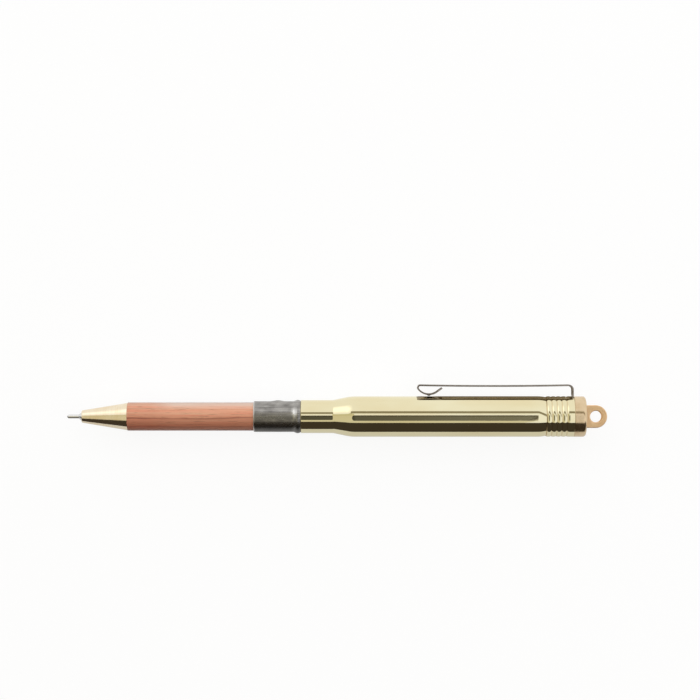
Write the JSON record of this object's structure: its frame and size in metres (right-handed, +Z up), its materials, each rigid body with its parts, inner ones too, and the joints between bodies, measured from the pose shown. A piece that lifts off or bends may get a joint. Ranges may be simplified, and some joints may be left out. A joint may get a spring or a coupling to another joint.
{
  "type": "ballpoint pen",
  "caption": "Pocket ballpoint pen: a brass case with clip and lanyard eye holds a wooden writing end with a bullet nose, which pulls out and reverses into the case.",
  "frame": {"origin": "on the surface that the pen lies on, under the middle of its bounding box", "axes": "+X along the pen from the writing point to the lanyard eye, +Y to the clip's side, +Z up"},
  "size_m": [0.1358, 0.0132, 0.0102],
  "materials": {
    "case_brass": "polished",
    "cap_brass": "satin",
    "clip_steel": "polished strip",
    "holder_grey": "tumbled grey",
    "nose_grey": "grained",
    "wood": "oiled cedar",
    "cone_brass": "fine turned",
    "refill_brass": "drawn",
    "point_metal": "nickel silver",
    "ink": "liquid ink",
    "ball_metal": "carbide"
  },
  "bodies": {
    "case": {"case_tube": "case_brass", "tail_collar": "case_brass", "end_cap": "cap_brass", "clip_washer": "clip_steel"},
    "clip": {"clip_arm": "clip_steel"},
    "insert": {"holder_sleeve": "holder_grey", "nose_plug": "nose_grey", "wooden_barrel": "wood", "threaded_insert": "cone_brass", "ink_tube": "refill_brass", "writing_point": "point_metal", "ink_column": "ink"},
    "cone": {"nose_cone": "cone_brass"},
    "ball": {"writing_ball": "ball_metal"}
  },
  "joints": [
    {"name": "insert_pull", "type": "slide", "parent": "case", "child": "insert", "axis": [-1, 0, 0], "range_m": [0, 0.03]},
    {"name": "clip_flex", "type": "hinge", "parent": "case", "child": "clip", "pos_m": [0.05928, 0.00286, 0.0051], "axis": [0, 0, -1], "range_deg": [0, 4], "stiffness_Nm_per_rad": 1, "springref_deg": -1.72},
    {"name": "cone_unscrew", "type": "slide", "parent": "insert", "child": "cone", "axis": [-1, 0, 0], "range_m": [0, 0.022]},
    {"name": "ball_roll", "type": "hinge", "parent": "insert", "child": "ball", "pos_m": [-0.06757, -0.00148, 0.0051], "axis": [0, 0, 1], "continuous": true}
  ]
}
